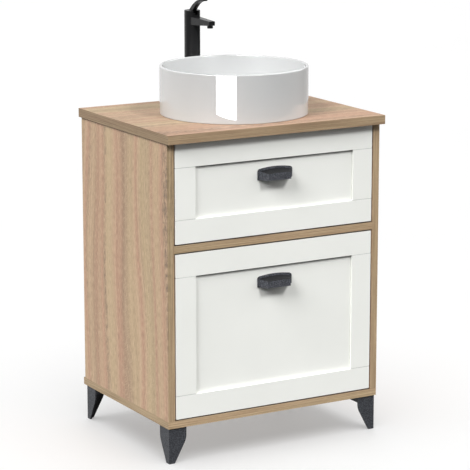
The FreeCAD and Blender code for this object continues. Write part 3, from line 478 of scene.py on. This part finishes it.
# How far the sharp edges of the laminated boards are rounded, in metres.
EASED = {
    "worktop": 0.0008,
    "side_panel_left": 0.0005,
    "side_panel_right": 0.0005,
    "bottom_panel": 0.0008,
    "divider_rail": 0.0005,
    "front_stretcher": 0.0005,
}


def ease(node, width, segments=2):
    """Joins a node's split corners, then rounds its sharp edges a little."""
    weld = node.modifiers.new("weld", "WELD")
    weld.merge_threshold = 1e-5
    bevel = node.modifiers.new("ease", "BEVEL")
    bevel.width = width
    bevel.segments = segments
    bevel.limit_method = "ANGLE"
    bevel.angle_limit = math.radians(35)
    bevel.harden_normals = True


for name, node in NODES.items():
    slot = node.data.materials[0].name.split(".")[0]
    node.data.materials[0] = OWN.get(name, PLAIN[slot])
    if name in EASED:
        ease(node, EASED[name])
    elif slot == "white_lacquer" and not name.endswith("panel"):
        ease(node, LACQUER_EASE)


def lit_only(name, *objects):
    """A collection that a lamp can be limited to."""
    made = bpy.data.collections.new(name)
    for each in objects:
        made.objects.link(each)
    return made


def softbox(name, azimuth, elevation, distance, size, power, aim=(0.0, 0.0, 0.5)):
    """A rectangular lamp on that side of `aim`, facing it and hidden from the camera."""
    data = bpy.data.lights.new(name, "AREA")
    data.shape = "RECTANGLE"
    data.size, data.size_y = size
    data.energy = power
    lamp = bpy.data.objects.new(name, data)
    bpy.context.scene.collection.objects.link(lamp)
    back = heading(azimuth, elevation)
    lamp.location = Vector(aim) + back * distance
    lamp.visible_camera = False
    lamp.rotation_euler = (-back).to_track_quat("-Z", "Y").to_euler()
    return lamp


def sun(name, azimuth, elevation, strength, softness):
    """A distant lamp on that side, with `softness` as its width in degrees."""
    data = bpy.data.lights.new(name, "SUN")
    data.energy = strength
    data.angle = math.radians(softness)
    lamp = bpy.data.objects.new(name, data)
    bpy.context.scene.collection.objects.link(lamp)
    lamp.rotation_euler = (-heading(azimuth, elevation)).to_track_quat("-Z", "Y").to_euler()
    return lamp


def heading(azimuth, elevation):
    """The unit vector towards that side and height, in degrees. Azimuth 0 is in front."""
    a, e = math.radians(azimuth), math.radians(elevation)
    return Vector((math.sin(a) * math.cos(e), -math.cos(a) * math.cos(e), math.sin(e)))


def floor():
    """A wide pale ground that glows a little, so that it stays nearly white."""
    half = FLOOR_HALF
    mesh = bpy.data.meshes.new("floor")
    corners = [(-half, -half, 0), (half, -half, 0), (half, half, 0), (-half, half, 0)]
    mesh.from_pydata(corners, [], [(0, 1, 2, 3)])
    made = bpy.data.objects.new("floor", mesh)
    bpy.context.scene.collection.objects.link(made)
    f = Finish("floor", Roughness=0.6, Emission_Color=(1.0, 1.0, 1.0, 1.0), Emission_Strength=0.365)
    f.colour(f.ramp(f.noise(f.place(), 1.5, 2.0), (0.3, FLOOR), (0.7, tuple(c + 2 for c in FLOOR))))
    mesh.materials.append(f.material)
    made.visible_diffuse = False
    made.visible_glossy = False


def light():
    """Surroundings that are dim ahead and bright behind, with a set of lamps.

    One wide sun lights the floor alone. Three light the object: one ahead, one on the left
    and a weak wide one on the right, which leaves the glossy tap out. A tall card beside
    the camera lights the basin alone, and shows on it as a bright strip.
    """
    world = bpy.data.worlds.new("studio")
    world.use_nodes = True
    tree = world.node_tree
    background = tree.nodes["Background"]
    background.inputs["Color"].default_value = (1.0, 1.0, 1.0, 1.0)
    direction = tree.nodes.new("ShaderNodeTexCoord")
    parts = tree.nodes.new("ShaderNodeSeparateXYZ")
    fade = tree.nodes.new("ShaderNodeMapRange")
    tree.links.new(direction.outputs["Generated"], parts.inputs[0])
    tree.links.new(parts.outputs["Y"], fade.inputs[0])
    for socket, value in enumerate((*WORLD_FADE, WORLD_AHEAD, WORLD_BEHIND), start=1):
        fade.inputs[socket].default_value = value
    tree.links.new(fade.outputs[0], background.inputs["Strength"])
    bpy.context.scene.world = world
    on_object = lit_only("lights_on_the_object", *NODES.values())
    pale = (node for name, node in NODES.items() if not name.startswith("tap_"))
    on_pale = lit_only("lights_on_all_but_the_tap", *pale)
    on_floor = lit_only("lights_on_the_floor", bpy.data.objects["floor"])
    for receiver, lamp in (
        (on_floor, sun("overhead", -20.0, 78.0, 2.6, 70.0)),
        (on_object, sun("ahead", 16.0, 46.0, 1.85, 14.0)),
        (on_object, sun("left_fill", -70.0, 42.0, 3.9, 34.0)),
        (on_pale, sun("right_fill", 75.0, 22.0, 1.9, 60.0)),
    ):
        lamp.light_linking.receiver_collection = receiver
    card = softbox("reflected_card", -41.0, 0.0, 2.9, (1.5, 2.2), 420.0, aim=(0.0, 0.0, 1.2))
    card.visible_diffuse = False
    card.light_linking.receiver_collection = lit_only("lights_on_the_basin", NODES["basin"])


def camera():
    """A long lens from ahead, to the left and a little above."""
    data = bpy.data.cameras.new("camera")
    data.lens = LENS
    data.sensor_width = 36.0
    data.clip_end = 200.0
    made = bpy.data.objects.new("camera", data)
    bpy.context.scene.collection.objects.link(made)
    back = heading(AZIMUTH, ELEVATION)
    made.location = Vector(AIM) + back * DISTANCE
    made.rotation_euler = (-back).to_track_quat("-Z", "Y").to_euler()
    bpy.context.scene.camera = made


floor()
light()
camera()
bpy.context.scene.view_settings.view_transform = "Standard"
